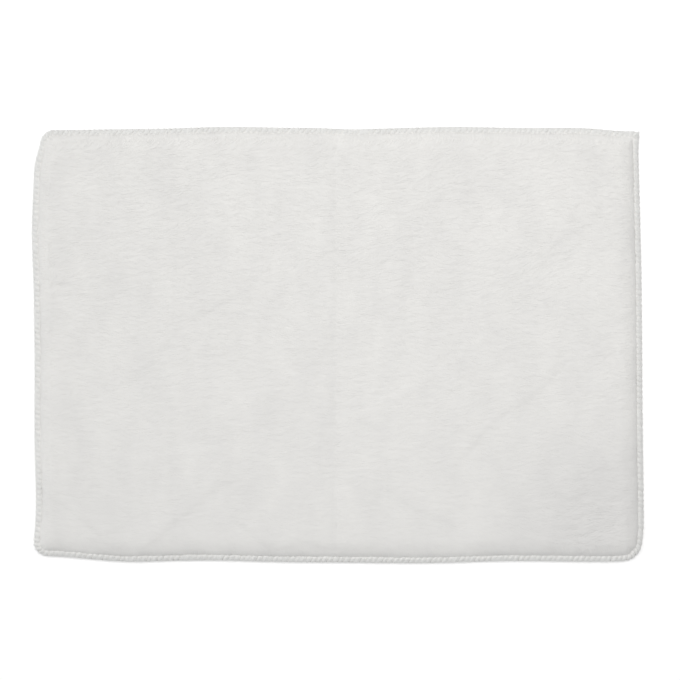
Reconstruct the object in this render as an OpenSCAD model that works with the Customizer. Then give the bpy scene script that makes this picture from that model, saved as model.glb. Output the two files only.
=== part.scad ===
// Plush bath mat: a pile fabric over a foam pad, with a cloth backing and a dotted rubber grip
// coat, all held together by one overlocked edge.
// The mat lies flat: +X along its length, +Y across it, +Z up. The origin is on the floor,
// under the middle of the mat.

/* [Mat] */
// Length over the overlocked edge, along X
mat_l = 700; // [400:10:1200]
// Width over the overlocked edge, along Y
mat_w = 500; // [300:10:900]
// Plan radius of the three corners that the edging runs round
corner_r = 14; // [12:1:40]
// Plan radius of the corner where the edging starts and ends
start_corner_r = 6; // [3:1:40]

/* [Layers] */
// Height of the pile above the knit that it grows from
pile_h = 9; // [4:0.5:25]
// Thickness of the knit
knit_t = 0.8; // [0.4:0.1:2]
// Thickness of the foam pad
foam_t = 6; // [4:0.5:20]
// Thickness of the foam where the edging squeezes it
foam_seam_t = 1.2; // [0.5:0.1:3]
// Thickness of the pile where the edging crushes it
pile_seam_t = 1; // [0.4:0.1:3]
// Thickness of the backing cloth
backing_t = 0.8; // [0.4:0.1:2]
// Thickness of the rubber film between the dots
film_t = 0.4; // [0.2:0.1:1.5]

/* [Grip dots] */
// Diameter of a grip dot
dot_d = 7; // [3:0.5:12]
// Distance between neighbouring dots in a row
dot_pitch = 25; // [15:1:60]
// How far the dots stand below the yarn under the edge
dot_proud = 0.2; // [0.1:0.1:2]
// Clear band between the edging and the outermost dots
dot_margin = 10; // [3:1:60]

/* [Edging] */
// Distance from the edge of the fabric to the needle line
bite = 7.5; // [6:0.5:12]
// Width of a looper yarn, pressed flat
yarn_w = 2.4; // [1:0.1:3]
// Thickness of a looper yarn, pressed flat
yarn_t = 0.9; // [0.6:0.1:2]
// Diameter of the needle yarn
needle_d = 1; // [0.5:0.1:1.6]
// Distance between stitches along the edge
stitch_pitch = 6.3; // [5:0.1:12]
// How far a stitch leans along the edge, from its outer to its inner end
stitch_lean = 2.6; // [0:0.1:5]
// Length of the loose chain of yarn at the start corner
tail_l = 8; // [4:0.5:10]
// Diameter of that chain of yarn
tail_d = 1.8; // [1:0.1:3]

/* [Care label] */
// Width of the label tape
label_w = 30; // [15:1:60]
// Length of the folded label, from the needle line to its fold
label_l = 42; // [20:1:80]
// Thickness of the tape
tape_t = 0.2; // [0.1:0.05:0.25]
// Distance from the right-hand end of the mat to the label
label_from_end = 85; // [30:5:200]

/* [Hidden] */
$fn = 64;

yarn_gap = 0.2;   // between yarns that pass each other
fold_gap = 0.05;  // between the two halves of the folded label
label_gap = 1;    // between the label and the dots round it
overcut = 1;      // how far a cut runs past the face that it starts from

// Levels, from the floor up
z_film = dot_proud + yarn_t;
z_backing = z_film + film_t;
z_foam = z_backing + backing_t;
z_seam = z_foam + foam_seam_t;
z_pile_seam = z_seam + knit_t;
z_seam_top = z_pile_seam + pile_seam_t;
z_yarn_meet = (z_film + z_seam_top) / 2;

// Radii of the rounded sides. They share one centre line, at the level of the seam.
foam_r = foam_t - foam_seam_t;
knit_r = foam_r + knit_t;
pile_r = knit_r + pile_h;

// Distances in from the outside of the mat
fabric_inset = yarn_t;
needle_inset = fabric_inset + bite;
stitch_end = needle_inset - needle_d / 2 - yarn_gap;
pile_inset = needle_inset + needle_d / 2 + yarn_gap;

// The flat middle, between the rounded sides
flat_l = mat_l - 2 * (pile_inset + pile_r);
flat_w = mat_w - 2 * (pile_inset + pile_r);

// Corners anticlockwise from the back right one, where the edging starts:
// the signs of X and Y, and the plan radius
CORNERS = [
    [1, 1, start_corner_r], [-1, 1, corner_r], [-1, -1, corner_r], [1, -1, corner_r],
];

// The grip dots stand in staggered rows, with one under the middle of the mat
row_pitch = dot_pitch * sqrt(3) / 2;
dot_reach_x = mat_l / 2 - needle_inset - dot_margin - dot_d / 2;
dot_reach_y = mat_w / 2 - needle_inset - dot_margin - dot_d / 2;

// The care label, under the front edge
label_t = 2 * tape_t + fold_gap;
label_x = mat_l / 2 - label_from_end - label_w / 2;
label_y = -mat_w / 2 + needle_inset;

// The outline of the mat, moved inwards
module plan(inset) {
    difference() {
        square([mat_l - 2 * inset, mat_w - 2 * inset], center = true);
        for (c = CORNERS)
            if (c[2] > inset)
                translate([c[0] * (mat_l / 2 - c[2]), c[1] * (mat_w / 2 - c[2])])
                    into_quarter(c) corner_waste(c[2] - inset);
    }
}

// What rounding cuts off a corner of radius r, round that radius's centre
module corner_waste(r) {
    difference() {
        square(r + overcut);
        circle(r);
    }
}

// Turns a shape from the quarter of +X and +Y into the quarter of a corner
module into_quarter(c) {
    mirror([c[0] < 0 ? 1 : 0, 0]) mirror([0, c[1] < 0 ? 1 : 0]) children();
}

// A flat layer that reaches into the seam
module layer(z, thickness) {
    translate([0, 0, z]) linear_extrude(thickness) plan(fabric_inset);
}

// A quarter of a disc, between +X and +Y
module quarter_disc(r) {
    intersection() {
        circle(r);
        square(r);
    }
}

// The raised middle of a layer, with round sides and corners of radius r: a flat slab, a quarter
// of a round bar along each side and an eighth of a ball at each corner
module crown(r) {
    translate([0, 0, z_seam]) {
        translate([-flat_l / 2, -flat_w / 2, 0]) cube([flat_l, flat_w, r]);
        for (i = [0:3]) {
            along = i % 2 == 0 ? flat_l : flat_w;
            across = i % 2 == 0 ? flat_w : flat_l;
            rotate(90 * i) {
                translate([-along / 2, -across / 2, 0])
                    rotate([90, 0, 90]) linear_extrude(along) mirror([1, 0]) quarter_disc(r);
                translate([along / 2, -across / 2, 0])
                    rotate(-90) rotate_extrude(angle = 90) quarter_disc(r);
            }
        }
    }
}

module foam_pad() {
    color("#f0ead8") {
        layer(z_foam, foam_seam_t);
        crown(foam_r);
    }
}

module face_ground_knit() {
    color("#e6e4e0")
        difference() {
            union() {
                layer(z_seam, knit_t);
                crown(knit_r);
            }
            crown(foam_r);
        }
}

module plush_pile() {
    color("#f4f3f0")
        difference() {
            union() {
                layer(z_pile_seam, pile_seam_t);
                crown(pile_r);
            }
            layer(z_seam, knit_t);
            crown(knit_r);
        }
}

module backing_cloth() {
    color("#dcd9d2") layer(z_backing, backing_t);
}

// One rubber coat: a thin film with the dots raised on it
module grip_coat() {
    rows = floor(dot_reach_y / row_pitch);
    per_row = floor(dot_reach_x / dot_pitch) + 1;
    color("#e9e7e1") {
        layer(z_film, film_t);
        for (row = [-rows:rows], k = [-per_row:per_row]) {
            x = (k + (row % 2 == 0 ? 0 : 0.5)) * dot_pitch;
            y = row * row_pitch;
            if (abs(x) <= dot_reach_x && !under_label(x, y))
                translate([x, y, 0]) cylinder(h = z_film + film_t / 2, d = dot_d);
        }
    }
}

// Whether a dot here would touch the care label
function under_label(x, y) =
    abs(x - label_x) < label_w / 2 + label_gap + dot_d / 2
    && y < label_y + label_l + label_gap + dot_d / 2;

// One bight of looper yarn. It starts on the mat's outline, with +X along the edge and +Y
// inwards: a leg that lies on the fabric at z_leg, and a part round the edge, from z_low to z_high.
module bight(leg, lean, z_leg, z_low, z_high) {
    outer = -lean / 2 - yarn_w / 2;
    inner = lean / 2 - yarn_w / 2;
    translate([0, 0, z_leg])
        linear_extrude(yarn_t)
            polygon([[outer, 0], [outer + yarn_w, 0], [inner + yarn_w, leg], [inner, leg]]);
    translate([outer, 0, z_low]) cube([yarn_w, yarn_t, z_high - z_low]);
}

// Length of edge that the stitches of a corner take from both of its sides
function corner_room(r) = max(r, needle_inset + (yarn_w + stitch_lean) / 2 + yarn_gap);

// Length of a corner's stitches, which stop short of the needle line
function corner_leg(r) =
    r > needle_inset ? stitch_end : sqrt(2) * stitch_end - (sqrt(2) - 1) * r - yarn_w / 2;

// Looper yarn all along the edge
module looper_yarn(z_leg, z_low, z_high) {
    for (i = [0:3]) {
        along = i % 2 == 0 ? mat_l : mat_w;
        across = i % 2 == 0 ? mat_w : mat_l;
        first = corner_room(CORNERS[i][2]);
        run = along - first - corner_room(CORNERS[(i + 1) % 4][2]);
        steps = round(run / stitch_pitch);
        rotate(180 + 90 * i)
            for (k = [0:steps])
                translate([-along / 2 + first + k * run / steps, -across / 2, 0])
                    bight(stitch_end, stitch_lean, z_leg, z_low, z_high);
        corner_yarn(CORNERS[i], z_leg, z_low, z_high, 45 + 90 * i);
    }
}

// Looper yarn round one corner, whose middle is at an angle of mid
module corner_yarn(c, z_leg, z_low, z_high, mid) {
    count = max(round(c[2] * PI / 2 / stitch_pitch) - 1, 1);
    for (k = [1:count])
        translate([c[0] * (mat_l / 2 - c[2]), c[1] * (mat_w / 2 - c[2]), 0])
            rotate(mid - 45 + 90 * k / (count + 1) + 90)
                translate([0, -c[2], 0])
                    bight(corner_leg(c[2]), 0, z_leg, z_low, z_high);
}

module overlock_upper_looper_thread() {
    color("#f7f5f1")
        looper_yarn(z_seam_top, z_yarn_meet + yarn_gap / 2, z_seam_top + yarn_t);
}

module overlock_lower_looper_thread() {
    color("#f1efe9") looper_yarn(z_film - yarn_t, z_film - yarn_t, z_yarn_meet - yarn_gap / 2);
}

module overlock_needle_thread() {
    color("#ece9e3")
        translate([0, 0, z_seam_top])
            linear_extrude(needle_d)
                difference() {
                    plan(needle_inset - needle_d / 2);
                    plan(needle_inset + needle_d / 2);
                }
}

// The loose end of the chain, which lies over the stitches of the start corner
module overlock_chain_tail() {
    r = tail_d / 2;
    color("#f7f5f1")
        translate([mat_l / 2 - tail_d, mat_w / 2 - tail_d, z_seam_top + yarn_t + r])
            rotate(225) {
                sphere(r);
                rotate([0, 90, 0]) cylinder(h = tail_l - tail_d, r = r);
                translate([tail_l - tail_d, 0, 0]) sphere(r);
            }
}

// A blank tape folded in two, held against the film by the seam
module care_label() {
    color("#fbfaf7")
        translate([label_x - label_w / 2, label_y, z_film - label_t])
            difference() {
                cube([label_w, label_l, label_t]);
                translate([-overcut, -overcut, tape_t])
                    cube([label_w + 2 * overcut, label_l - tape_t + overcut, fold_gap]);
            }
}

plush_pile();
face_ground_knit();
foam_pad();
backing_cloth();
grip_coat();
overlock_needle_thread();
overlock_upper_looper_thread();
overlock_lower_looper_thread();
overlock_chain_tail();
care_label();
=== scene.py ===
"""A plush bath mat, modelled piece by piece round its CAD frame: pile over a knit and a foam pad, a
backing cloth with a dotted grip coat, and the yarns of the overlocked edge.

It is laid out as an add-on and run as a script. Each piece has an operator of its own."""

import functools
import math

import bpy
import numpy as np
from bpy.props import FloatProperty, FloatVectorProperty, IntProperty, PointerProperty
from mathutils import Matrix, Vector


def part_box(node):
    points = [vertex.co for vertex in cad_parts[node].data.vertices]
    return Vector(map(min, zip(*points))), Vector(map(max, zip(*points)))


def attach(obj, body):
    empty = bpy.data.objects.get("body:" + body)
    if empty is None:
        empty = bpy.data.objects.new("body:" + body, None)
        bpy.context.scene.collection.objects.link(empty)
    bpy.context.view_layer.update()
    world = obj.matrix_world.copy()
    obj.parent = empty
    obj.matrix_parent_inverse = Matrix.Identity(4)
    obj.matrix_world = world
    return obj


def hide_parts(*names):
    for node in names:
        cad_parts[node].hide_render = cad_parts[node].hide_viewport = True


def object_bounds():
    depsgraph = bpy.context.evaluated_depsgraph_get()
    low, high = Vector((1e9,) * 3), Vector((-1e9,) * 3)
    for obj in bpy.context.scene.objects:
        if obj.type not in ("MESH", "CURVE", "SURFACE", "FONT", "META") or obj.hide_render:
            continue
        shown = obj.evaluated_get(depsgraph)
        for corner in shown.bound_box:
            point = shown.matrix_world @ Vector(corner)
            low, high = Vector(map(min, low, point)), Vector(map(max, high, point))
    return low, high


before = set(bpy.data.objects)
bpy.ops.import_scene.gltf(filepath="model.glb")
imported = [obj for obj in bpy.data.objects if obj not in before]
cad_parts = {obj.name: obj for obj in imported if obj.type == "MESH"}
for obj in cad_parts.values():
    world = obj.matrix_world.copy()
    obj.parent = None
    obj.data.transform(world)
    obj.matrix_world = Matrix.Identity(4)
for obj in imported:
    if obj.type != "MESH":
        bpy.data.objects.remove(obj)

bl_info = {
    "name": "Bath Mat",
    "version": (1, 0, 0),
    "blender": (4, 5, 0),
    "location": "3D View > Sidebar > Bath Mat",
    "description": "Models a plush bath mat with an overlocked edge",
    "category": "Add Mesh",
}

MM = 0.001
TINY = 1e-6

# ---------------------------------------------------------------------------------------------
# Places, all from the frame
# ---------------------------------------------------------------------------------------------

CAD_LOW, CAD_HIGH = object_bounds()
BOX = {node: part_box(node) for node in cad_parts}
HALF_L, HALF_W = CAD_HIGH.x, CAD_HIGH.y

Z_UNDER_YARN = BOX["overlock_lower_looper_thread"][0].z
Z_BACKING = BOX["backing_cloth"][0].z
Z_FOAM = BOX["foam_pad"][0].z
Z_FOAM_TOP = BOX["foam_pad"][1].z
Z_SEAM = BOX["face_ground_knit"][0].z
Z_KNIT_TOP = BOX["face_ground_knit"][1].z
Z_PILE_SEAM = BOX["plush_pile"][0].z
Z_TOP = BOX["plush_pile"][1].z
Z_SEAM_TOP = BOX["overlock_needle_thread"][0].z
Z_YARN_MEET = BOX["overlock_upper_looper_thread"][0].z

FABRIC_INSET = HALF_L - BOX["plush_pile"][1].x
NEEDLE_D = BOX["overlock_needle_thread"][1].z - Z_SEAM_TOP
NEEDLE_INSET = HALF_L - BOX["overlock_needle_thread"][1].x + NEEDLE_D / 2
KNIT_T = Z_PILE_SEAM - Z_SEAM
PILE_H = Z_TOP - Z_KNIT_TOP

# The corners, anticlockwise from the back right one, where the edging starts:
# the signs of X and Y, and the plan radius
CORNERS = ((1, 1, 6 * MM), (-1, 1, 14 * MM), (-1, -1, 15 * MM), (1, -1, 20 * MM))

# The rim: how far in the edging rolls up, and how far over the seam its crest and the crease
# at the needle line lie
ROLL_CREST = 4.8 * MM
CREST_RISE = 0.5 * MM
CREASE = NEEDLE_INSET + NEEDLE_D / 2
CREASE_RISE = 1.5 * MM

# The bank of pile: where it starts and where it is full, and its steep brow
PILE_FOOT = CREASE - 1.5 * MM
BANK_TOP = CREASE + 22 * MM
BROW_WIDTH = 6 * MM
BROW_SHARE = 0.2
KNIT_FOOT = CREASE + PILE_H
KNIT_FULL = KNIT_FOOT + Z_KNIT_TOP - Z_SEAM

# The field of pile: the height that is left to the locks, the trodden patch and the old fold
LOCK_ROOM = 2.2 * MM
TRODDEN_REACH = 48 * MM
TRODDEN_DEPTH = 1.4 * MM
TRODDEN_TUFTS = 0.9 * MM
FOLD_X = -2 * MM
FOLD_SWAY = 2 * MM
FOLD_WIDTH = 4.5 * MM

# The locks: how far the brushing turns them and how far each strays from it, in radians, how far
# a tip curls aside, as a share of the length, and the most that a lock lifts off the fabric
LOCK_TURN = 0.35
LOCK_STRAY = 0.14
LOCK_CURL = 0.13
LOCK_LIFT = 0.35 * MM

# The laid grids: cells along the mat, cells across it, and how many of them lie in each rim
LAYER_CELLS = (64, 48, 4)
KNIT_CELLS = (96, 72, 8)
PILE_CELLS = (252, 440, 30)
PILE_UNDER_CELLS = (63, 110, 6)

# The cloth simulation of the top fabric: its cells and steps, the waves that it starts from,
# and the most that the fabric may swell
SETTLE_CELLS = (70, 50)
SETTLE_STEPS = 20
SETTLE_START = 0.3 * MM
SWELL_CAP = 0.5 * MM

# The underside: the lower face of the grip coat's film, and the label's tape
Z_FILM = BOX["overlock_lower_looper_thread"][0].z + 0.9 * MM
TAPE_T = 0.2 * MM

# The colour sockets of a Mix node, which share their names with its other sockets
MIX_FACTOR, MIX_LOW, MIX_HIGH, MIX_RESULT = 0, 6, 7, 2


def linear(code):
    """A colour as linear red, green and blue, from its sRGB hex code."""
    parts = [int(code[i : i + 2], 16) / 255 for i in (0, 2, 4)]
    return [p / 12.92 if p <= 0.04045 else ((p + 0.055) / 1.055) ** 2.4 for p in parts]


# ---------------------------------------------------------------------------------------------
# Settings
# ---------------------------------------------------------------------------------------------


def length(name, description, default):
    return FloatProperty(
        name=name, description=description, default=default, unit="LENGTH", precision=5
    )


def colour(name, description, code):
    return FloatVectorProperty(
        name=name, description=description, default=linear(code), subtype="COLOR", size=3
    )


class PileSettings(bpy.types.PropertyGroup):
    lock_length: length("Lock length", "Length of a lock of fibres, as it lies", 9 * MM)
    lock_width: length("Lock width", "Width of a lock of fibres at its thickest", 1.8 * MM)
    lock_spacing: length("Lock spacing", "Distance between the roots of neighbouring locks", 3 * MM)
    furrow_depth: length("Furrow depth", "Depth of the furrows between the locks", 0.52 * MM)
    spare_fabric: FloatProperty(
        name="Spare fabric", description="Share by which the fabric is larger than its edge",
        default=0.004, subtype="FACTOR", min=0, max=0.1,
    )
    fold_depth: length("Fold depth", "Depth of the old fold across the middle", 1 * MM)
    trodden: FloatVectorProperty(
        name="Trodden patch", description="Middle of the patch where the pile is trodden down",
        default=(0.29, -0.205), size=2, subtype="XYZ", unit="LENGTH",
    )
    light: colour("Pile", "Colour of the pile's tips", "F9F8F5")
    shade: colour("Pile in shade", "Colour where the pile leans away", "EDECEA")
    seed: IntProperty(name="Seed", description="Draw of the pile's disorder", default=7)


class EdgingSettings(bpy.types.PropertyGroup):
    pitch: length("Stitch pitch", "Distance between stitches along the edge", 6.3 * MM)
    lean: length("Lean", "How far a stitch leans along the edge", 3.4 * MM)
    strand: length("Strand", "Diameter of one strand of the looper yarn", 1.85 * MM)
    under_strand: length("Strand below", "Diameter of a strand pressed under the edge", 0.9 * MM)
    yarn: colour("Yarn", "Colour of the edging yarn", "F7F7F5")
    seed: IntProperty(name="Seed", description="Draw of the stitches' unevenness", default=11)


class UndersideSettings(bpy.types.PropertyGroup):
    dot_diameter: length("Dot diameter", "Diameter of a grip dot", 7 * MM)
    dot_pitch: length("Dot pitch", "Distance between neighbouring dots in a row", 25 * MM)
    dot_margin: length("Dot margin", "Clear band between the edging and the dots", 10 * MM)
    rubber: colour("Rubber", "Colour of the grip coat", "E4E1D8")
    cloth: colour("Backing", "Colour of the backing cloth", "DCD8CE")
    foam: colour("Foam", "Colour of the foam pad", "F2EFE6")
    knit: colour("Knit", "Colour of the ground knit", "E4E2DC")
    tape: colour("Label", "Colour of the care label", "F6F5F1")


class StageSettings(bpy.types.PropertyGroup):
    camera_height: length("Camera height", "Height of the camera over the floor", 3.2)
    view_width: length("View width", "Width of floor that the camera takes in", 0.781)
    camera_right: length("Camera right", "How far the camera stands right of the middle", 1.2 * MM)
    camera_back: length("Camera back", "How far the camera stands behind the middle", 5.6 * MM)
    paper: colour("Floor", "Colour of the floor", "FAFAFA")


GROUPS = {
    "mat_pile": PileSettings,
    "mat_edging": EdgingSettings,
    "mat_underside": UndersideSettings,
    "mat_stage": StageSettings,
}


# ---------------------------------------------------------------------------------------------
# The lie of the cloth
# ---------------------------------------------------------------------------------------------


def fade(distance, reach):
    """1 at a corner, and 0 from reach on."""
    return 0.5 + 0.5 * np.cos(np.pi * np.clip(distance / reach, 0, 1))


def bulge(along, middle, width):
    """A soft swell of height 1 round the middle."""
    return np.exp(-(((along - middle) / width) ** 2))


def wander(x, y):
    """Moves points of the straight plan to where the soft cloth lies: its corners are tucked in,
    and its sides wave a little. Each side's terms are millimetres outwards: first the whole side,
    then its corners, its broad swells and hollows, and its waves."""
    left, right, front, back = HALF_L + x, HALF_L - x, HALF_W + y, HALF_W - y
    out_back = (
        0.9 - 2.9 * fade(left, 0.19) - 4.2 * fade(right, 0.075) - 1.6 * bulge(x, 0.014, 0.03)
        + 0.3 * np.sin(x / 0.021 + 1.7) + 0.6 * np.sin(x / 0.041 - 2.0)
    )
    out_front = (
        0.7 - 8.2 * fade(left, 0.13) - 1.4 * fade(right, 0.04)
        + 0.4 * np.sin(x / 0.028 - 2.2) + 0.8 * np.sin(x / 0.07 + 0.14) + 0.8 * np.sin(x / 0.059 + 1.4)
    )
    out_left = (
        1.6 - 8.6 * fade(back, 0.05) + 2.2 * bulge(y, 0.135, 0.06) - 1.2 * bulge(y, -0.02, 0.045)
        - 1.8 * bulge(y, -0.17, 0.05) + 1.4 * bulge(y, -0.232, 0.018)
        + 0.3 * np.sin(y / 0.022 + 2.0) + 0.5 * np.sin(y / 0.094 + 1.4)
    )
    out_right = (
        1.1 - 5.4 * fade(back, 0.33) + 1.8 * bulge(y, 0.25, 0.014) - 3.2 * fade(front, 0.045)
        + 0.8 * np.sin(y / 0.056 - 0.7)
    )
    to_right, to_back = (1 + x / HALF_L) / 2, (1 + y / HALF_W) / 2
    x = x + MM * (out_right * to_right**2 - out_left * (1 - to_right) ** 2)
    y = y + MM * (out_back * to_back**2 - out_front * (1 - to_back) ** 2)
    return x, y


def rounded(x, y, inset=0.0):
    """Moves points of a full rectangle into its outline with rounded corners."""
    for sign_x, sign_y, radius in CORNERS:
        r = max(radius - inset, TINY)
        middle_x, middle_y = HALF_L - inset - r, HALF_W - inset - r
        u, v = sign_x * x - middle_x, sign_y * y - middle_y
        inside = (u > 0) & (v > 0)
        shrink = np.maximum(u, v) / np.maximum(np.hypot(u, v), TINY)
        x = np.where(inside, sign_x * (middle_x + u * shrink), x)
        y = np.where(inside, sign_y * (middle_y + v * shrink), y)
    return x, y


def from_sides(x, y):
    """How far in from the sides a point of the full rectangle lies. Its contours turn the corners
    in a curve that widens inwards."""
    across = np.maximum(HALF_L - np.abs(x), TINY)
    along = np.maximum(HALF_W - np.abs(y), TINY)
    return (across**-4.0 + along**-4.0) ** -0.25


def outwards(x, y):
    """The direction away from the middle of the mat, towards the nearest side."""
    across = np.maximum(HALF_L - np.abs(x), MM) ** -5.0
    along = np.maximum(HALF_W - np.abs(y), MM) ** -5.0
    size = np.hypot(across, along)
    return np.sign(x) * across / size, np.sign(y) * along / size


def grain(x, y, long, wide, seed):
    """Smooth random relief from -1 to 1, in lumps of about long by wide."""
    lumps = 512
    table = np.random.default_rng(seed).uniform(-1, 1, (lumps, lumps))
    u, v = x / long + 100.3, y / wide + 200.7
    i, j = np.floor(u).astype(int), np.floor(v).astype(int)
    f, g = u - i, v - j
    f, g = f * f * (3 - 2 * f), g * g * (3 - 2 * g)
    i, j, next_i, next_j = i % lumps, j % lumps, (i + 1) % lumps, (j + 1) % lumps
    near = table[i, j] * (1 - f) + table[next_i, j] * f
    far = table[i, next_j] * (1 - f) + table[next_i, next_j] * f
    return near * (1 - g) + far * g


@functools.cache
def settled():
    """Heights of the top fabric once it has settled on the foam, row by row, from a cloth
    simulation. The fabric is sewn down all round, was cut a little larger than the edge that holds
    it, and is pressed up from below, so it swells in soft waves."""
    pile = bpy.context.scene.mat_pile
    bpy.ops.object.select_all(action="DESELECT")
    columns, rows = SETTLE_CELLS
    bpy.ops.mesh.primitive_grid_add(x_subdivisions=columns, y_subdivisions=rows, size=2)
    sheet = bpy.context.object
    flat = points(sheet)
    x, y = flat[:, 0] * (HALF_L - CREASE), flat[:, 1] * (HALF_W - CREASE)
    move_points(sheet, x, y, SETTLE_START * grain(x, y, 45 * MM, 80 * MM, pile.seed + 21))
    sewn = sheet.vertex_groups.new(name="sewn")
    sewn.add(np.flatnonzero(np.abs(flat).max(1) > 1 - TINY).tolist(), 1, "REPLACE")
    cloth = sheet.modifiers.new("settling", "CLOTH").settings
    cloth.vertex_group_mass = sewn.name
    cloth.mass = 0.4
    cloth.bending_stiffness = 8
    cloth.shrink_min = -pile.spare_fabric
    cloth.use_pressure = True
    cloth.uniform_pressure_force = 0.05
    cloth.effector_weights.gravity = 0
    for step in range(SETTLE_STEPS):
        bpy.context.scene.frame_set(step + 1)
    finish_modifiers(sheet)
    heights = points(sheet)[:, 2]
    bpy.data.objects.remove(sheet)
    order = np.lexsort((np.round(flat[:, 0], 5), np.round(flat[:, 1], 5)))
    heights = heights[order].reshape(rows + 1, columns + 1)
    return heights - heights.mean()


def swell(x, y):
    """How far the settled fabric stands over or under its mean height, as a smooth surface. The
    foam holds it down, so the waves are held to the cap."""
    heights = settled()
    rows, columns = heights.shape
    u = (x / (HALF_L - CREASE) + 1) / 2 * (columns - 1)
    v = (y / (HALF_W - CREASE) + 1) / 2 * (rows - 1)
    i, j = np.floor(u).astype(int), np.floor(v).astype(int)
    total = 0
    for a, share_a in enumerate(spline_shares(u - i)):
        for b, share_b in enumerate(spline_shares(v - j)):
            near = heights[np.clip(j + b - 1, 0, rows - 1), np.clip(i + a - 1, 0, columns - 1)]
            total = total + share_a * share_b * near
    return SWELL_CAP * np.tanh(total / SWELL_CAP)


def spline_shares(f):
    """The shares of four neighbours in a cubic B-spline, a fraction f past the second one."""
    return (
        (1 - f) ** 3 / 6,
        (3 * f**3 - 6 * f**2 + 4) / 6,
        (1 + 3 * f + 3 * f**2 - 3 * f**3) / 6,
        f**3 / 6,
    )


def rise(distance, foot, full):
    """From 0 at the foot of a round side to 1 where it is full."""
    t = np.clip((distance - foot) / (full - foot), 0, 1)
    return np.sqrt(1 - (1 - t) ** 2)


def knit_top(x, y):
    """Height of the ground knit over the foam."""
    return Z_PILE_SEAM + (Z_KNIT_TOP - Z_PILE_SEAM) * rise(from_sides(x, y), KNIT_FOOT, KNIT_FULL)


def foam_top(x, y):
    """Height of the foam pad, with its round sides."""
    return Z_SEAM + (Z_FOAM_TOP - Z_SEAM) * rise(from_sides(x, y), KNIT_FOOT + KNIT_T, KNIT_FULL)


def nap(x, y, seed):
    """Furrows of the brushed pile: fine waves that run mostly along the mat, in soft patches."""
    u = x + 7 * MM * grain(x, y, 34 * MM, 21 * MM, seed)
    v = y + 3 * MM * grain(x, y, 17 * MM, 13 * MM, seed + 1)
    fine = grain(u, v, 7 * MM, 2.3 * MM, seed + 2)
    locks = grain(u, v, 13 * MM, 4.1 * MM, seed + 3)
    patches = grain(x, y, 38 * MM, 60 * MM, seed + 4)
    return 0.35 * fine + 0.5 * locks + 0.3 * patches


def trodden(x, y):
    """How far the pile is trodden down at a point, from 0 to 1."""
    middle_x, middle_y = bpy.context.scene.mat_pile.trodden
    return bulge(np.hypot(x - middle_x, y - middle_y), 0, TRODDEN_REACH)


def fullness(x, y):
    """How proud the locks stand: the brushing lifted them more towards the back."""
    return 1 + 0.5 * y / HALF_W + 0.6 * trodden(x, y)


def pile_top(x, y):
    """Height of the pile fabric, which the locks stand on: the roll of the rim, the crease of the
    needle line, the bank and the field with its furrows."""
    pile = bpy.context.scene.mat_pile
    inwards = from_sides(x, y)
    crest = Z_SEAM_TOP + CREST_RISE
    outer = Z_YARN_MEET + (crest - Z_YARN_MEET) * np.clip(inwards / ROLL_CREST, 0, 1) ** 0.75
    crease = Z_SEAM_TOP + CREASE_RISE
    to_crease = np.clip((inwards - ROLL_CREST) / (CREASE - ROLL_CREST), 0, 1)
    inner = crest + (crease - crest) * (0.5 - 0.5 * np.cos(np.pi * to_crease))
    rim = np.where(inwards < ROLL_CREST, outer, inner)

    wide = BANK_TOP + 4 * MM * grain(x, y, 45 * MM, 45 * MM, pile.seed + 20)
    foot = PILE_FOOT + 0.7 * MM * grain(x, y, 9 * MM, 9 * MM, pile.seed + 22)
    brow = 1 - (1 - np.clip((inwards - foot) / BROW_WIDTH, 0, 1)) ** 2.5
    shoulder = 1 - (1 - np.clip((inwards - foot) / (wide - foot), 0, 1)) ** 2.6
    bank = BROW_SHARE * brow + (1 - BROW_SHARE) * shoulder
    full = Z_TOP - LOCK_ROOM + pile.furrow_depth * fullness(x, y) * nap(x, y, pile.seed)
    full = full + swell(x, y)
    tufts = TRODDEN_TUFTS * grain(x, y, 11 * MM, 8 * MM, pile.seed + 23)
    full = full - trodden(x, y) * (TRODDEN_DEPTH + tufts)
    full = full - pile.fold_depth * bulge(x, FOLD_SWAY * np.sin(y / 0.07) + FOLD_X, FOLD_WIDTH)
    return np.where(inwards < foot, rim, np.maximum(rim, crease + (full - crease) * bank))


# ---------------------------------------------------------------------------------------------
# Small tools
# ---------------------------------------------------------------------------------------------


def select_only(*objects):
    """Selects these objects and nothing else, with the first one active."""
    bpy.ops.object.select_all(action="DESELECT")
    for thing in objects:
        thing.select_set(True)
    bpy.context.view_layer.objects.active = objects[0]


def points(piece):
    """A mesh's points, one row each."""
    flat = np.empty(len(piece.data.vertices) * 3)
    piece.data.vertices.foreach_get("co", flat)
    return flat.reshape(-1, 3)


def move_points(piece, x, y, z):
    """Puts a mesh's points at these places."""
    x, y, z = np.broadcast_arrays(x, y, z)
    piece.data.vertices.foreach_set("co", np.stack([x, y, z], 1).ravel())
    piece.data.update()


def finish_modifiers(piece):
    """Applies all of a piece's modifiers."""
    select_only(piece)
    for modifier in list(piece.modifiers):
        bpy.ops.object.modifier_apply(modifier=modifier.name)


def solidify(piece, thickness, offset=-1):
    """Gives a sheet its thickness. It lies below the surface that the sheet was laid with, or
    evenly round it where the offset is 0."""
    wall = piece.modifiers.new("thickness", "SOLIDIFY")
    wall.thickness = thickness
    wall.offset = offset
    finish_modifiers(piece)


def join(first, *others):
    """Joins the other objects into the first."""
    select_only(first, *others)
    bpy.ops.object.join()
    return first


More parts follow.
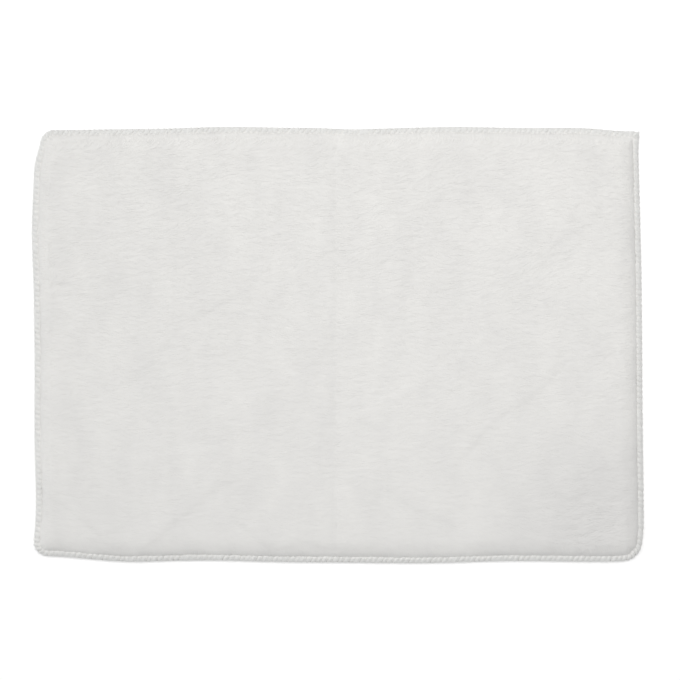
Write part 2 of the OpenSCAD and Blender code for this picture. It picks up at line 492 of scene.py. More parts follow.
def bridge_rims(top, bottom):
    """Joins two laid grids into one closed shell, top side up."""
    select_only(bottom)
    bpy.ops.object.mode_set(mode="EDIT")
    bpy.ops.mesh.select_all(action="SELECT")
    bpy.ops.mesh.flip_normals()
    bpy.ops.object.mode_set(mode="OBJECT")
    join(top, bottom)
    bpy.ops.object.mode_set(mode="EDIT")
    bpy.ops.mesh.select_mode(type="EDGE")
    bpy.ops.mesh.select_all(action="DESELECT")
    bpy.ops.mesh.select_non_manifold(extend=False)
    bpy.ops.mesh.bridge_edge_loops()
    bpy.ops.mesh.select_all(action="SELECT")
    bpy.ops.mesh.normals_make_consistent(inside=False)
    bpy.ops.object.mode_set(mode="OBJECT")
    return top


def copies(pattern, name, placed):
    """Joins copies of a modelled pattern into one piece. placed holds the points of each copy."""
    mesh, count = pattern.data, len(placed)
    ends = np.empty(len(mesh.loops), int)
    mesh.loops.foreach_get("vertex_index", ends)
    sizes = np.empty(len(mesh.polygons), int)
    mesh.polygons.foreach_get("loop_total", sizes)
    all_ends = (ends[None] + len(mesh.vertices) * np.arange(count)[:, None]).ravel()
    starts = np.cumsum(np.tile(sizes, count)) - np.tile(sizes, count)
    joined = bpy.data.meshes.new(name)
    joined.vertices.add(len(mesh.vertices) * count)
    joined.vertices.foreach_set("co", np.ascontiguousarray(placed).ravel())
    joined.loops.add(len(all_ends))
    joined.loops.foreach_set("vertex_index", all_ends)
    joined.polygons.add(len(starts))
    joined.polygons.foreach_set("loop_start", starts)
    joined.update(calc_edges=True)
    piece = bpy.data.objects.new(name, joined)
    bpy.context.collection.objects.link(piece)
    bpy.data.objects.remove(pattern)
    return piece


def smooth(piece, degrees=180):
    """Shades a piece smooth, up to this angle between faces."""
    select_only(piece)
    bpy.ops.object.shade_smooth_by_angle(angle=math.radians(degrees))


def place(piece, node, material):
    """Finishes a piece: gives it its material, hangs it from the root body and hides the CAD part of
    the node that it stands for.
    """
    piece.data.materials.clear()
    piece.data.materials.append(material)
    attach(piece, "root")
    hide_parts(node)
    return piece


def spread(t, half, rim, share):
    """Spaces rows from -1 to 1 over a side, with that share of them in the rim at each end."""
    middle = 1 - share
    inner = np.abs(t) / middle * (half - rim)
    outer = half - rim + (np.abs(t) - middle) / share * rim
    return np.sign(t) * np.where(np.abs(t) < middle, inner, outer)


def lay_grid(name, cells, height, inset=FABRIC_INSET):
    """Lays a grid over the whole mat, with its rows closer together near the sides."""
    columns, rows, rim_rows = cells
    bpy.ops.object.select_all(action="DESELECT")
    bpy.ops.mesh.primitive_grid_add(x_subdivisions=columns, y_subdivisions=rows, size=2)
    piece = bpy.context.object
    piece.name = name
    at = points(piece)
    x = spread(at[:, 0], HALF_L - inset, BANK_TOP, 2 * rim_rows / columns)
    y = spread(at[:, 1], HALF_W - inset, BANK_TOP, 2 * rim_rows / rows)
    z = height(x, y)
    move_points(piece, *wander(*rounded(x, y, inset)), z)
    return piece


# ---------------------------------------------------------------------------------------------
# Along the edge
# ---------------------------------------------------------------------------------------------


def edge_line():
    """The outline every half millimetre, anticlockwise from the back right corner, and the way
    inwards from each of its points, which turns the corners gradually: it is averaged over 18 mm
    of the outline."""
    spacing, averaged = 0.5 * MM, range(-18, 19)
    corners = []
    for i, (sign_x, sign_y, radius) in enumerate(CORNERS):
        turn = np.radians(90 * i + np.linspace(0, 90, 25))
        corners.append(
            np.stack(
                [
                    sign_x * (HALF_L - radius) + radius * np.cos(turn),
                    sign_y * (HALF_W - radius) + radius * np.sin(turn),
                ],
                1,
            )
        )
    line = np.concatenate(corners + [corners[0][:1]])
    run = np.concatenate([[0], np.cumsum(np.hypot(*np.diff(line, axis=0).T))])
    at = np.arange(0, run[-1], spacing)
    line = np.stack([np.interp(at, run, line[:, k]) for k in (0, 1)], 1)
    ahead = np.roll(line, -1, 0) - np.roll(line, 1, 0)
    inwards = np.stack([-ahead[:, 1], ahead[:, 0]], 1)
    inwards /= np.linalg.norm(inwards, axis=1)[:, None]
    inwards = sum(np.roll(inwards, k, 0) for k in averaged)
    inwards /= np.linalg.norm(inwards, axis=1)[:, None]
    return run[-1], at, line, inwards


EDGE_LENGTH, EDGE_AT, EDGE_LINE, EDGE_IN = edge_line()


def beside_edge(along, inwards):
    """Points at a distance along the edge from the back right corner, and inwards from it."""
    at = np.mod(along, EDGE_LENGTH)
    x, y, in_x, in_y = (
        np.interp(at, EDGE_AT, values, period=EDGE_LENGTH)
        for values in (*EDGE_LINE.T, *EDGE_IN.T)
    )
    return wander(x + in_x * inwards, y + in_y * inwards)


def strand_pattern(name, strands, diameter, sides):
    """Yarn strands as tubes. Each strand is its points along the edge, inwards and up."""
    bpy.ops.object.select_all(action="DESELECT")
    bpy.ops.curve.primitive_nurbs_path_add()
    pattern = bpy.context.object
    pattern.name = name
    curve = pattern.data
    curve.splines.clear()
    for strand in strands:
        spline = curve.splines.new("NURBS")
        spline.points.add(len(strand) - 1)
        for point, co in zip(spline.points, strand):
            point.co = (*co, 1)
        spline.use_endpoint_u = True
        spline.order_u = 3
        spline.resolution_u = 2
    curve.dimensions = "3D"
    curve.bevel_depth = diameter / 2
    curve.bevel_resolution = (sides - 4) // 2
    curve.use_fill_caps = True
    bpy.ops.object.convert(target="MESH")
    return bpy.context.object


def run_round(pattern, name, count, rng, unevenness):
    """Copies a stitch all round the edge, each a little different from the next. None goes below
    the floor."""
    at = points(pattern)
    step = EDGE_LENGTH / count
    start = step * np.arange(count)[:, None]
    shift, reach, lift = (rng.normal(0, 1, (count, 1)) for _ in range(3))
    along = at[:, 0] * (1 + 0.12 * reach) + start + unevenness * shift
    inwards = at[:, 1] * (1 + 0.04 * reach)
    up = at[:, 2] + 0.5 * unevenness * lift
    x, y = beside_edge(along, inwards)
    return copies(pattern, name, np.stack([x, y, np.maximum(up, 0.05 * MM)], 2))


# ---------------------------------------------------------------------------------------------
# Materials
# ---------------------------------------------------------------------------------------------


def add(tree, kind, inputs=None, **settings):
    """Adds a node with its settings. An input is a value, or the socket that feeds it."""
    node = tree.nodes.new(kind)
    for name, value in settings.items():
        setattr(node, name, value)
    for name, value in (inputs or {}).items():
        if isinstance(value, bpy.types.NodeSocket):
            tree.links.new(value, node.inputs[name])
        else:
            node.inputs[name].default_value = value
    return node


def new_material(name, **surface):
    """A material with its Principled surface, and the object's own coordinates."""
    material = bpy.data.materials.new(name)
    material.use_nodes = True
    tree = material.node_tree
    shader = tree.nodes["Principled BSDF"]
    for socket, value in surface.items():
        shader.inputs[socket.replace("_", " ")].default_value = value
    where = add(tree, "ShaderNodeTexCoord").outputs["Object"]
    return material, tree, shader, where


def per(along, across, up=None):
    """How many lumps of these sizes go into a metre, as a pattern's scale. A wave pattern repeats
    about three times in a lump."""
    return 1 / along, 1 / across, 1 / (up or across)


def brushed_polyester_plush():
    """Brushed polyester microfibre pile: matt, with the soft glow of many fine fibres at grazing
    angles, and streaks along the way it was brushed. A fibre is far too fine to show, so the
    streaks are drawn at about a millimetre. Round the trodden patch the colour holds painted shade."""
    pile = bpy.context.scene.mat_pile
    material, tree, shader, where = new_material(
        "brushed_polyester_plush", Roughness=0.95, Sheen_Weight=0.15, Sheen_Roughness=0.6
    )
    brushed = add(
        tree, "ShaderNodeMapping", {"Vector": where, "Scale": per(9 * MM, 1.2 * MM, 3 * MM)}
    ).outputs["Vector"]
    streaks = add(
        tree, "ShaderNodeTexNoise", {"Vector": brushed, "Scale": 1.0, "Detail": 3.0}
    ).outputs["Fac"]
    broad = add(
        tree, "ShaderNodeMapping", {"Vector": where, "Scale": per(28 * MM, 50 * MM)}
    ).outputs["Vector"]
    patches = add(
        tree, "ShaderNodeTexNoise", {"Vector": broad, "Scale": 1.0, "Detail": 2.0}
    ).outputs["Fac"]
    tone = add(
        tree, "ShaderNodeMath", {0: streaks, 1: 0.3, 2: patches}, operation="MULTIPLY_ADD"
    ).outputs[0]

    # Painted shade: round the middle of the trodden patch, out to about 140 mm, the tone is lowered
    # towards the shade colour, so the pile is painted darker there.
    reach = 140 * MM
    middle = (-pile.trodden[0] / reach, -pile.trodden[1] / reach, 0)
    near = add(
        tree, "ShaderNodeMapping",
        {"Vector": where, "Location": middle, "Scale": (1 / reach, 1 / reach, 0)},
    ).outputs["Vector"]
    painted_shade_round_patch = add(
        tree, "ShaderNodeTexGradient", {"Vector": near}, gradient_type="SPHERICAL"
    ).outputs["Fac"]
    tone = add(
        tree, "ShaderNodeMath", {0: painted_shade_round_patch, 1: -0.9, 2: tone}, operation="MULTIPLY_ADD"
    ).outputs[0]
    tint = add(
        tree, "ShaderNodeMix",
        {MIX_FACTOR: tone, MIX_LOW: (*pile.shade, 1), MIX_HIGH: (*pile.light, 1)},
        data_type="RGBA",
    ).outputs[MIX_RESULT]
    tree.links.new(tint, shader.inputs["Base Color"])
    relief = add(tree, "ShaderNodeBump", {"Height": streaks, "Distance": 0.1 * MM, "Strength": 0.3})
    tree.links.new(relief.outputs["Normal"], shader.inputs["Normal"])
    return material


def bulky_polyester_yarn():
    """Bulky textured polyester yarn: crimped filaments that scatter light, so it's matt and a
    little brighter on its rounds. The filaments are drawn at half a millimetre."""
    edging = bpy.context.scene.mat_edging
    material, tree, shader, where = new_material(
        "bulky_polyester_yarn", Roughness=0.85, Sheen_Weight=0.15, Sheen_Roughness=0.5
    )
    crimp = add(
        tree, "ShaderNodeMapping", {"Vector": where, "Scale": per(0.5 * MM, 0.5 * MM)}
    ).outputs["Vector"]
    filaments = add(
        tree, "ShaderNodeTexNoise", {"Vector": crimp, "Scale": 1.0, "Detail": 2.0}
    ).outputs["Fac"]
    dull = [0.96 * c for c in edging.yarn]
    tint = add(
        tree, "ShaderNodeMix",
        {MIX_FACTOR: filaments, MIX_LOW: (*dull, 1), MIX_HIGH: (*edging.yarn, 1)},
        data_type="RGBA",
    ).outputs[MIX_RESULT]
    tree.links.new(tint, shader.inputs["Base Color"])
    relief = add(
        tree, "ShaderNodeBump", {"Height": filaments, "Distance": 0.15 * MM, "Strength": 0.5}
    )
    tree.links.new(relief.outputs["Normal"], shader.inputs["Normal"])
    return material


def warp_knit():
    """Warp-knitted polyester ground: fine ribs along the mat, 1 mm apart, seen only where the
    pile is parted."""
    under = bpy.context.scene.mat_underside
    material, tree, shader, where = new_material("warp_knit_polyester", Roughness=0.9)
    courses = add(
        tree, "ShaderNodeMapping", {"Vector": where, "Scale": per(8 * MM, 3.1 * MM)}
    ).outputs["Vector"]
    ribs = add(
        tree, "ShaderNodeTexWave", {"Vector": courses, "Scale": 1.0, "Distortion": 1.5},
        bands_direction="Y",
    ).outputs["Fac"]
    dull = [0.88 * c for c in under.knit]
    tint = add(
        tree, "ShaderNodeMix",
        {MIX_FACTOR: ribs, MIX_LOW: (*dull, 1), MIX_HIGH: (*under.knit, 1)},
        data_type="RGBA",
    ).outputs[MIX_RESULT]
    tree.links.new(tint, shader.inputs["Base Color"])
    relief = add(tree, "ShaderNodeBump", {"Height": ribs, "Distance": 0.2 * MM, "Strength": 1.0})
    tree.links.new(relief.outputs["Normal"], shader.inputs["Normal"])
    return material


def open_cell_foam():
    """Open-cell polyurethane foam, cut from a block: off-white, matt, pitted with cells under a
    millimetre wide."""
    under = bpy.context.scene.mat_underside
    material, tree, shader, where = new_material("open_cell_polyurethane", Roughness=0.95)
    froth = add(
        tree, "ShaderNodeMapping", {"Vector": where, "Scale": per(0.9 * MM, 0.9 * MM)}
    ).outputs["Vector"]
    cells = add(tree, "ShaderNodeTexVoronoi", {"Vector": froth, "Scale": 1.0}).outputs["Distance"]
    dull = [0.8 * c for c in under.foam]
    tint = add(
        tree, "ShaderNodeMix",
        {MIX_FACTOR: cells, MIX_LOW: (*dull, 1), MIX_HIGH: (*under.foam, 1)},
        data_type="RGBA",
    ).outputs[MIX_RESULT]
    tree.links.new(tint, shader.inputs["Base Color"])
    relief = add(tree, "ShaderNodeBump", {"Height": cells, "Distance": 0.3 * MM, "Strength": 1.0})
    tree.links.new(relief.outputs["Normal"], shader.inputs["Normal"])
    return material


def plain_weave():
    """Plain-woven polyester backing: threads a millimetre apart, over and under."""
    under = bpy.context.scene.mat_underside
    material, tree, shader, where = new_material("plain_woven_polyester", Roughness=0.9)
    cloth = add(
        tree, "ShaderNodeMapping", {"Vector": where, "Scale": per(3.1 * MM, 3.1 * MM)}
    ).outputs["Vector"]
    warp, weft = (
        add(
            tree, "ShaderNodeTexWave", {"Vector": cloth, "Scale": 1.0}, bands_direction=way
        ).outputs["Fac"]
        for way in "XY"
    )
    weave = add(tree, "ShaderNodeMath", {0: warp, 1: weft}, operation="MULTIPLY").outputs[0]
    dull = [0.82 * c for c in under.cloth]
    tint = add(
        tree, "ShaderNodeMix",
        {MIX_FACTOR: weave, MIX_LOW: (*dull, 1), MIX_HIGH: (*under.cloth, 1)},
        data_type="RGBA",
    ).outputs[MIX_RESULT]
    tree.links.new(tint, shader.inputs["Base Color"])
    relief = add(tree, "ShaderNodeBump", {"Height": weave, "Distance": 0.2 * MM, "Strength": 1.0})
    tree.links.new(relief.outputs["Normal"], shader.inputs["Normal"])
    return material


def cast_rubber():
    """Cast thermoplastic rubber: off-white, smooth to the hand with a low gloss and a slight
    cloud where it is thicker."""
    under = bpy.context.scene.mat_underside
    material, tree, shader, where = new_material("cast_thermoplastic_rubber", Roughness=0.55)
    broad = add(
        tree, "ShaderNodeMapping", {"Vector": where, "Scale": per(9 * MM, 9 * MM)}
    ).outputs["Vector"]
    clouds = add(
        tree, "ShaderNodeTexNoise", {"Vector": broad, "Scale": 1.0, "Detail": 3.0}
    ).outputs["Fac"]
    dull = [0.86 * c for c in under.rubber]
    tint = add(
        tree, "ShaderNodeMix",
        {MIX_FACTOR: clouds, MIX_LOW: (*dull, 1), MIX_HIGH: (*under.rubber, 1)},
        data_type="RGBA",
    ).outputs[MIX_RESULT]
    tree.links.new(tint, shader.inputs["Base Color"])
    fine = add(
        tree, "ShaderNodeMapping", {"Vector": where, "Scale": per(1.5 * MM, 1.5 * MM)}
    ).outputs["Vector"]
    dimples = add(
        tree, "ShaderNodeTexNoise", {"Vector": fine, "Scale": 1.0, "Detail": 2.0}
    ).outputs["Fac"]
    relief = add(
        tree, "ShaderNodeBump", {"Height": dimples, "Distance": 0.08 * MM, "Strength": 1.0}
    )
    tree.links.new(relief.outputs["Normal"], shader.inputs["Normal"])
    return material


def satin_tape():
    """Woven satin tape: smooth and a little glossy, with weft lines 0.6 mm apart."""
    under = bpy.context.scene.mat_underside
    material, tree, shader, where = new_material("woven_satin_tape", Roughness=0.45)
    satin = add(
        tree, "ShaderNodeMapping", {"Vector": where, "Scale": per(1.9 * MM, 1.9 * MM)}
    ).outputs["Vector"]
    weft = add(
        tree, "ShaderNodeTexWave", {"Vector": satin, "Scale": 1.0}, bands_direction="Y"
    ).outputs["Fac"]
    dull = [0.93 * c for c in under.tape]
    tint = add(
        tree, "ShaderNodeMix",
        {MIX_FACTOR: weft, MIX_LOW: (*dull, 1), MIX_HIGH: (*under.tape, 1)},
        data_type="RGBA",
    ).outputs[MIX_RESULT]
    tree.links.new(tint, shader.inputs["Base Color"])
    relief = add(tree, "ShaderNodeBump", {"Height": weft, "Distance": 0.05 * MM, "Strength": 1.0})
    tree.links.new(relief.outputs["Normal"], shader.inputs["Normal"])
    return material


# ---------------------------------------------------------------------------------------------
# Stage
# ---------------------------------------------------------------------------------------------


class BATHMAT_OT_stage(bpy.types.Operator):
    """Adds the camera, the floor and the lights"""

    bl_idname = "bathmat.stage"
    bl_label = "Stage"

    def execute(self, context):
        stage = context.scene.mat_stage
        bpy.ops.object.camera_add(
            location=(stage.camera_right, stage.camera_back, stage.camera_height), rotation=(0, 0, 0)
        )
        camera = context.object
        reach = stage.camera_height - Z_TOP
        camera.data.lens = camera.data.sensor_width * reach / stage.view_width
        context.scene.camera = camera

        bpy.ops.mesh.primitive_plane_add(size=40)
        floor = context.object
        floor.name = "floor"
        floor.data.materials.append(lit_paper(stage))

        softbox("key", (-3.4, 1.9, 4.4), 2.2, 68, (1, 1, 1))
        softbox("left_rim", (-3.0, 0, 1.0), 1.2, 3.5, (1, 1, 1))
        softbox("back_glow", (0.28, 0.43, 1.45), 0.8, 7.5, (1, 0.98, 0.965))
        world = context.scene.world or bpy.data.worlds.new("studio")
        context.scene.world = world
        world.use_nodes = True
        background = world.node_tree.nodes["Background"]
        background.inputs["Color"].default_value = (0.98, 0.99, 1, 1)
        background.inputs["Strength"].default_value = 0.435
        context.scene.view_settings.view_transform = "Standard"
        return {"FINISHED"}


def lit_paper(stage):
    """Matt white paper. It has a little light of its own, so it stays white, and the mat's shadow
    on it is faint."""
    material, _, _, _ = new_material(
        "matt_paper", Roughness=1.0, Base_Color=(*stage.paper, 1), Specular_IOR_Level=0.0,
        Emission_Color=(1, 1, 1, 1), Emission_Strength=0.3,
    )
    return material


def softbox(name, place_at, size, power, tint):
    """A square soft light that faces the mat."""
    bpy.ops.object.light_add(type="AREA", location=place_at)
    lamp = bpy.context.object
    lamp.name = name
    lamp.rotation_euler = (-Vector(place_at)).to_track_quat("-Z", "Y").to_euler()
    lamp.data.size = size
    lamp.data.energy = power
    lamp.data.color = tint
    lamp.visible_camera = False


# ---------------------------------------------------------------------------------------------
# Pieces
# ---------------------------------------------------------------------------------------------


class BATHMAT_OT_foam_and_knit(bpy.types.Operator):
    """Models the foam pad and the knit over it"""

    bl_idname = "bathmat.foam_and_knit"
    bl_label = "Foam and knit"

    def execute(self, context):
        foam = lay_grid("foam_core", LAYER_CELLS, foam_top)
        bridge_rims(foam, lay_grid("foam_under", LAYER_CELLS, lambda x, y: Z_FOAM))
        place(foam, "foam_pad", open_cell_foam())
        smooth(foam, 50)

        knit = lay_grid("ground_knit", KNIT_CELLS, knit_top)
        solidify(knit, KNIT_T)
        place(knit, "face_ground_knit", warp_knit())
        smooth(knit, 50)
        return {"FINISHED"}


class BATHMAT_OT_pile(bpy.types.Operator):
    """Models the plush pile as a thick fabric, with its locks of fibres laid over it"""

    bl_idname = "bathmat.pile"
    bl_label = "Pile"

    def execute(self, context):
        pile = context.scene.mat_pile
        plush = brushed_polyester_plush()
        fabric = lay_grid("pile_fabric", PILE_CELLS, pile_top)
        bridge_rims(fabric, lay_grid("pile_under", PILE_UNDER_CELLS, knit_top))
        place(fabric, "plush_pile", plush)
        smooth(fabric)

        rng = np.random.default_rng(pile.seed)
        roots = lock_roots(pile, rng)
        for part, share in enumerate(np.array_split(roots, 4, axis=1)):
            locks = lay_locks(f"pile_locks_{part + 1}", share, pile, rng)
            place(locks, "plush_pile", plush)
            smooth(locks, 60)
        return {"FINISHED"}


def lock_roots(pile, rng):
    """Where the locks start: in uneven rows over the field and the bank, and closer together
    along the needle line, where the pile parts."""
    roots = []
    field = (pile.lock_spacing, CREASE + 1.5 * MM, HALF_W)
    fringe = (pile.lock_spacing / 2, CREASE + 1.3 * MM, CREASE + 7 * MM)
    for spacing, nearest, furthest in (field, fringe):
        columns, rows = (int(2 * half / spacing) for half in (HALF_L, HALF_W))
        across, along = np.linspace(-HALF_L, HALF_L, columns), np.linspace(-HALF_W, HALF_W, rows)
        x, y = np.meshgrid(across, along)
        x, y = (at.ravel() + spacing * rng.uniform(-0.6, 0.6, at.size) for at in (x, y))
        inwards = from_sides(x, y)
        kept = (inwards > nearest) & (inwards < furthest)
        roots.append(np.stack([x[kept], y[kept]]))
    return np.concatenate(roots, 1)


def lock_pattern():
    """A lock of fibres: a three-sided spike, 1 long and 1 in radius at its root, with two rings
    between its root and its tip. lay_locks gives it its real size."""
    bpy.ops.object.select_all(action="DESELECT")
    bpy.ops.mesh.primitive_cone_add(vertices=3, radius1=1, depth=1, location=(0, 0, 0.5))
    bpy.ops.object.transform_apply()
    bpy.ops.object.mode_set(mode="EDIT")
    for height in (0.3, 0.65):
        bpy.ops.mesh.select_all(action="SELECT")
        bpy.ops.mesh.bisect(plane_co=(0, 0, height), plane_no=(0, 0, 1))
    bpy.ops.object.mode_set(mode="OBJECT")
    return bpy.context.object


def lay_locks(name, roots, pile, rng):
    """Copies the lock to each root. It lies the way the pile is brushed, to the right with some
    turns, and down over the bank, where the drape nears 1."""
    pattern = lock_pattern()
    at = points(pattern)
    t = at[:, 2]
    ring = np.maximum(1 - t, TINY)
    side, up = at[:, 0] / ring, at[:, 1] / ring
    x, y = roots
    inwards = from_sides(x, y)
    turn = (
        LOCK_TURN * grain(x, y, 60 * MM, 40 * MM, pile.seed + 30)
        + LOCK_TURN * grain(x, y, 13 * MM, 9 * MM, pile.seed + 31)
        + rng.normal(0, LOCK_STRAY, x.size)
    )
    out_x, out_y = outwards(x, y)
    drape = 0.9 * fade(inwards - CREASE, BANK_TOP - CREASE)
    way_x = (1 - drape) * np.cos(turn) + drape * out_x
    way_y = (1 - drape) * np.sin(turn) + drape * out_y
    size = np.maximum(np.hypot(way_x, way_y), 0.2)
    way_x, way_y = way_x / size, way_y / size
    long = pile.lock_length * rng.uniform(0.7, 1.2, x.size) * (1 - 0.35 * drape)
    curl = long * rng.normal(0, LOCK_CURL, x.size)
    width = pile.lock_width * rng.uniform(0.6, 1.2, x.size) / 2
    lift = rng.uniform(0, LOCK_LIFT, x.size)

    # Each lock is swept along its way from a quarter of its length behind the root. It is
    # thickest at the root, curls aside, and arches up from the fabric and back to it.
    ahead = long[:, None] * (t - 0.25)
    girth = width[:, None] * np.clip(1 - t**2.2, 0, 1) ** 0.6
    aside = curl[:, None] * t**2 + girth * side
    place_x = x[:, None] + way_x[:, None] * ahead - way_y[:, None] * aside
    place_y = y[:, None] + way_y[:, None] * ahead + way_x[:, None] * aside
    over = lift[:, None] * (np.sin(np.pi * np.clip(t + 0.08, 0, 1)) ** 0.8) + 0.2 * girth * up
    proud = (fullness(x, y) + 0.5 * drape)[:, None]

    # It bridges a hollow ahead of its root, and goes down into it no steeper than 45 degrees.
    bridging = pile_top(x, y)[:, None] - np.maximum(ahead, 0)
    ground = np.maximum(pile_top(place_x, place_y), bridging)
    z = ground + proud * over - 0.1 * MM * (1 - t) ** 4
    place_x, place_y = wander(*rounded(place_x, place_y))
    return copies(pattern, name, np.stack([place_x, place_y, z], 2))


class BATHMAT_OT_underside(bpy.types.Operator):
    """Models the backing cloth, the grip coat with its dots, and the care label"""

    bl_idname = "bathmat.underside"
    bl_label = "Underside"

    def execute(self, context):
        backing = lay_grid("backing_sheet", LAYER_CELLS, lambda x, y: Z_FOAM)
        solidify(backing, Z_FOAM - Z_BACKING)
        place(backing, "backing_cloth", plain_weave())

        film = lay_grid("grip_film", LAYER_CELLS, lambda x, y: Z_BACKING)
        solidify(film, Z_BACKING - Z_FILM)
        join(film, lay_dots(context.scene.mat_underside))
        place(film, "grip_coat", cast_rubber())
        smooth(film, 40)
        lay_label()
        return {"FINISHED"}


def dot_pattern(radius):
    """A grip dot: a dome with a flat foot on the floor, rooted a little way up in the film."""
    depth = Z_FILM + 0.1 * MM
    bpy.ops.object.select_all(action="DESELECT")
    bpy.ops.mesh.primitive_circle_add(
        vertices=16, radius=radius, fill_type="NGON", location=(0, 0, depth)
    )
    bpy.ops.object.transform_apply()
    bpy.ops.object.mode_set(mode="EDIT")
    bpy.ops.mesh.select_all(action="SELECT")
    for share, narrow in ((0.45, 0.97), (0.35, 0.9), (0.2, 0.8)):
        bpy.ops.mesh.extrude_region_move(TRANSFORM_OT_translate={"value": (0, 0, -share * depth)})
        bpy.ops.transform.resize(value=(narrow, narrow, 1), center_override=(0, 0, 0))
    bpy.ops.mesh.select_all(action="SELECT")
    bpy.ops.mesh.normals_make_consistent(inside=False)
    bpy.ops.object.mode_set(mode="OBJECT")
    return bpy.context.object


def lay_dots(under):
    """Copies the dot to staggered rows, with one under the middle of the mat, and leaves room for
    the care label."""
    radius = under.dot_diameter / 2
    row_pitch = under.dot_pitch * math.sqrt(3) / 2
    reach_x, reach_y = (half - NEEDLE_INSET - under.dot_margin - radius for half in (HALF_L, HALF_W))
    columns, rows = int(reach_x / under.dot_pitch) + 1, int(reach_y / row_pitch)
    low, high = BOX["care_label"]
    clear = 1 * MM + radius
    centres = []
    for row in range(-rows, rows + 1):
        for column in range(-columns, columns + 1):
            x, y = (column + 0.5 * (row % 2)) * under.dot_pitch, row * row_pitch
            on_label = low.x - clear < x < high.x + clear and y < high.y + clear
            if abs(x) <= reach_x and not on_label:
                centres.append((x, y))
    centres = np.array(centres)
    pattern = dot_pattern(radius)
    at = points(pattern)
    x, y = wander(centres[:, :1] + at[:, 0], centres[:, 1:] + at[:, 1])
    return copies(pattern, "grip_dots", np.stack([x, y, np.broadcast_to(at[:, 2], x.shape)], 2))


def lay_label():
    """Lays the care label under the film: a blank tape, folded in two."""
    low, high = BOX["care_label"]
    bpy.ops.object.select_all(action="DESELECT")
    bpy.ops.mesh.primitive_grid_add(x_subdivisions=8, y_subdivisions=60, size=2)
    piece = bpy.context.object
    piece.name = "care_label_tape"
    at = points(piece)
    across = (at[:, 0] + 1) / 2
    long = high.y - low.y
    along = at[:, 1] * long
    upper, lower = Z_FILM - TAPE_T / 2, low.z + TAPE_T / 2
    near_fold = rise(long - np.abs(along), 0, 1 * MM)
    z = (upper + lower) / 2 + np.sign(along) * (upper - lower) / 2 * near_fold
    x = low.x + across * (high.x - low.x)
    y = high.y - TAPE_T / 2 - np.abs(along) * (long - TAPE_T) / long
    move_points(piece, *wander(x, y), z)
    solidify(piece, TAPE_T, offset=0)
    place(piece, "care_label", satin_tape())
    smooth(piece, 40)


class BATHMAT_OT_edging(bpy.types.Operator):
    """Sews the overlocked edge: the two looper yarns, the needle yarn and the chain's end"""

    bl_idname = "bathmat.edging"
    bl_label = "Edging"

    def execute(self, context):
        edging = context.scene.mat_edging
        rng = np.random.default_rng(edging.seed)
        count = round(EDGE_LENGTH / edging.pitch)
        yarn = bulky_polyester_yarn()

        over = run_round(upper_bight(edging), "looper_yarn_over", count, rng, 0.25 * MM)
        place(over, "overlock_upper_looper_thread", yarn)
        smooth(over)
        under = run_round(lower_bight(edging), "looper_yarn_under", count, rng, 0.15 * MM)
        place(under, "overlock_lower_looper_thread", yarn)
        smooth(under)
        needle = run_round(needle_stitch(edging), "needle_yarn", count, rng, 0.1 * MM)
        place(needle, "overlock_needle_thread", yarn)
        smooth(needle)
        tail = chain_end()
        place(tail, "overlock_chain_tail", yarn)
        smooth(tail)
        return {"FINISHED"}


def upper_bight(edging):
    """Three strands that lie together over the roll of the rim and turn down round the edge. The
    middle one rides on the other two and bulges out past them."""
    r = edging.strand / 2
    lean = edging.lean
    apart = 0.94 * edging.strand
    strands = []
    for place_along, raised in ((-1, 0), (0, 0.7), (1, 0)):
        side = place_along * apart
        top = Z_SEAM_TOP + r + raised * r
        edge = r - (0.2 + 1.3 * raised) * MM
        strands.append(
            [
                (0.8 * side + 0.62 * lean, CREASE - 0.4 * MM, Z_SEAM_TOP - 1.5 * MM),
                (0.9 * side + 0.5 * lean, 0.8 * NEEDLE_INSET, top - 0.6 * MM),
                (0.95 * side + 0.25 * lean, 0.6 * NEEDLE_INSET, top + 0.2 * MM),
                (side - 0.05 * lean, 0.37 * NEEDLE_INSET, top - 0.5 * MM),
                (1.15 * side - 0.35 * lean, r + 0.5 * MM, top - 1.8 * MM),
                (1.2 * side - 0.5 * lean, edge, Z_YARN_MEET + 0.5 * MM),
                (1.2 * side - 0.55 * lean, r + 0.1 * MM, Z_YARN_MEET - 0.6 * MM),
            ]
        )
    return strand_pattern("upper_bight", strands, edging.strand, 6)


def lower_bight(edging):
    """Three strands pressed flat under the edge, which meet the upper yarn at the edge."""
    r = edging.under_strand / 2
    lean = edging.lean
    level = Z_UNDER_YARN + r
    apart = 2 * edging.under_strand
    strands = []
    for place_along in (-1, 0, 1):
        side = place_along * apart
        strands.append(
            [
                (side + 0.5 * lean, NEEDLE_INSET, level + 0.2 * MM),
                (side + 0.3 * lean, 0.75 * NEEDLE_INSET, level),
                (side - 0.1 * lean, 0.4 * NEEDLE_INSET, level),
                (side - 0.35 * lean, 1.2 * MM, level),
                (side - 0.5 * lean, r, level + 0.5 * MM),
                (side - 0.5 * lean, r + 0.1 * MM, Z_YARN_MEET - 0.3 * MM),
            ]
        )
    return strand_pattern("lower_bight", strands, edging.under_strand, 6)


def needle_stitch(edging):
    """One stitch of the needle line, which dips into the cloth at both ends."""
    half = edging.pitch / 2
    top = Z_SEAM_TOP - 0.2 * MM
    strand = [
        (-half, NEEDLE_INSET, top - 1.2 * MM),
        (-0.8 * half, NEEDLE_INSET, top - 0.1 * MM),
        (0, NEEDLE_INSET, top + 0.3 * MM),
        (0.8 * half, NEEDLE_INSET, top - 0.1 * MM),
        (half, NEEDLE_INSET, top - 1.2 * MM),
    ]
    return strand_pattern("needle_stitch", [strand], NEEDLE_D, 6)


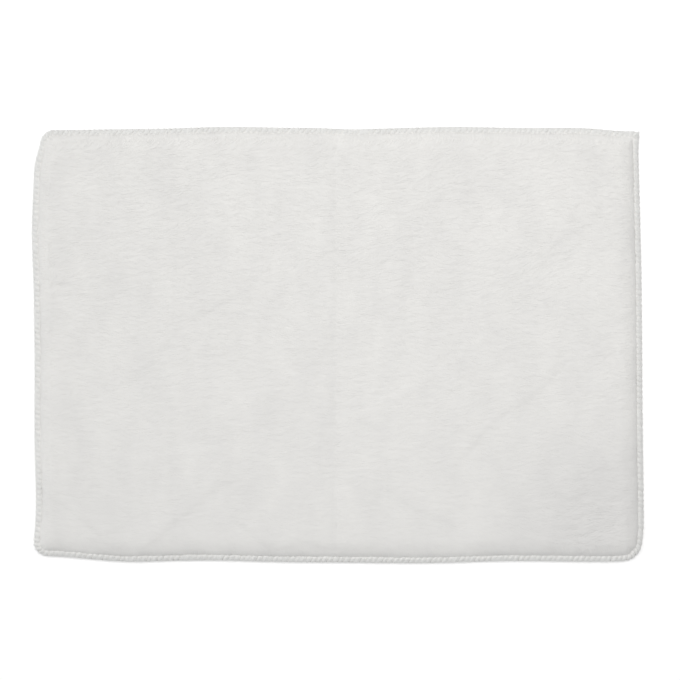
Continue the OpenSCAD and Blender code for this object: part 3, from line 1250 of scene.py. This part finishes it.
def chain_end():
    """The loose end of the chain at the start corner: interlaced loops, each tilted the other
    way. They hang a little lower towards the end."""
    low, high = BOX["overlock_chain_tail"]
    count, tilt, droop = 5, 50, 0.4 * MM
    loops = []
    for k in range(count):
        t = k / (count - 1)
        x, y = (np.array(low[i] + (high[i] - low[i]) * (0.15 + 0.7 * t)) for i in (0, 1))
        bpy.ops.object.select_all(action="DESELECT")
        bpy.ops.mesh.primitive_torus_add(
            major_radius=1.25 * MM, minor_radius=0.5 * MM, major_segments=14, minor_segments=7,
            location=(*wander(x, y), (low.z + high.z) / 2 - droop * t),
            rotation=(math.radians(tilt if k % 2 else -tilt), 0, math.radians(45)),
        )
        bpy.ops.object.transform_apply()
        loops.append(bpy.context.object)
    tail = join(*loops)
    tail.name = "chain_end"
    return tail


# ---------------------------------------------------------------------------------------------
# Panel and running
# ---------------------------------------------------------------------------------------------


class VIEW3D_PT_bath_mat(bpy.types.Panel):
    """Lists the pieces and their sizes and colours"""

    bl_label = "Bath Mat"
    bl_space_type = "VIEW_3D"
    bl_region_type = "UI"
    bl_category = "Bath Mat"

    def draw(self, context):
        for operator in OPERATORS:
            self.layout.operator(operator.bl_idname)
        for name in GROUPS:
            group = getattr(context.scene, name)
            for prop in group.__annotations__:
                self.layout.prop(group, prop)


OPERATORS = (
    BATHMAT_OT_stage,
    BATHMAT_OT_foam_and_knit,
    BATHMAT_OT_pile,
    BATHMAT_OT_underside,
    BATHMAT_OT_edging,
)


def register():
    for kind in (*GROUPS.values(), *OPERATORS, VIEW3D_PT_bath_mat):
        bpy.utils.register_class(kind)
    for name, group in GROUPS.items():
        setattr(bpy.types.Scene, name, PointerProperty(type=group))


def unregister():
    for name in GROUPS:
        delattr(bpy.types.Scene, name)
    for kind in reversed((*GROUPS.values(), *OPERATORS, VIEW3D_PT_bath_mat)):
        bpy.utils.unregister_class(kind)


def main():
    register()
    bpy.ops.bathmat.stage()
    bpy.ops.bathmat.foam_and_knit()
    bpy.ops.bathmat.pile()
    bpy.ops.bathmat.underside()
    bpy.ops.bathmat.edging()


if __name__ == "__main__":
    main()
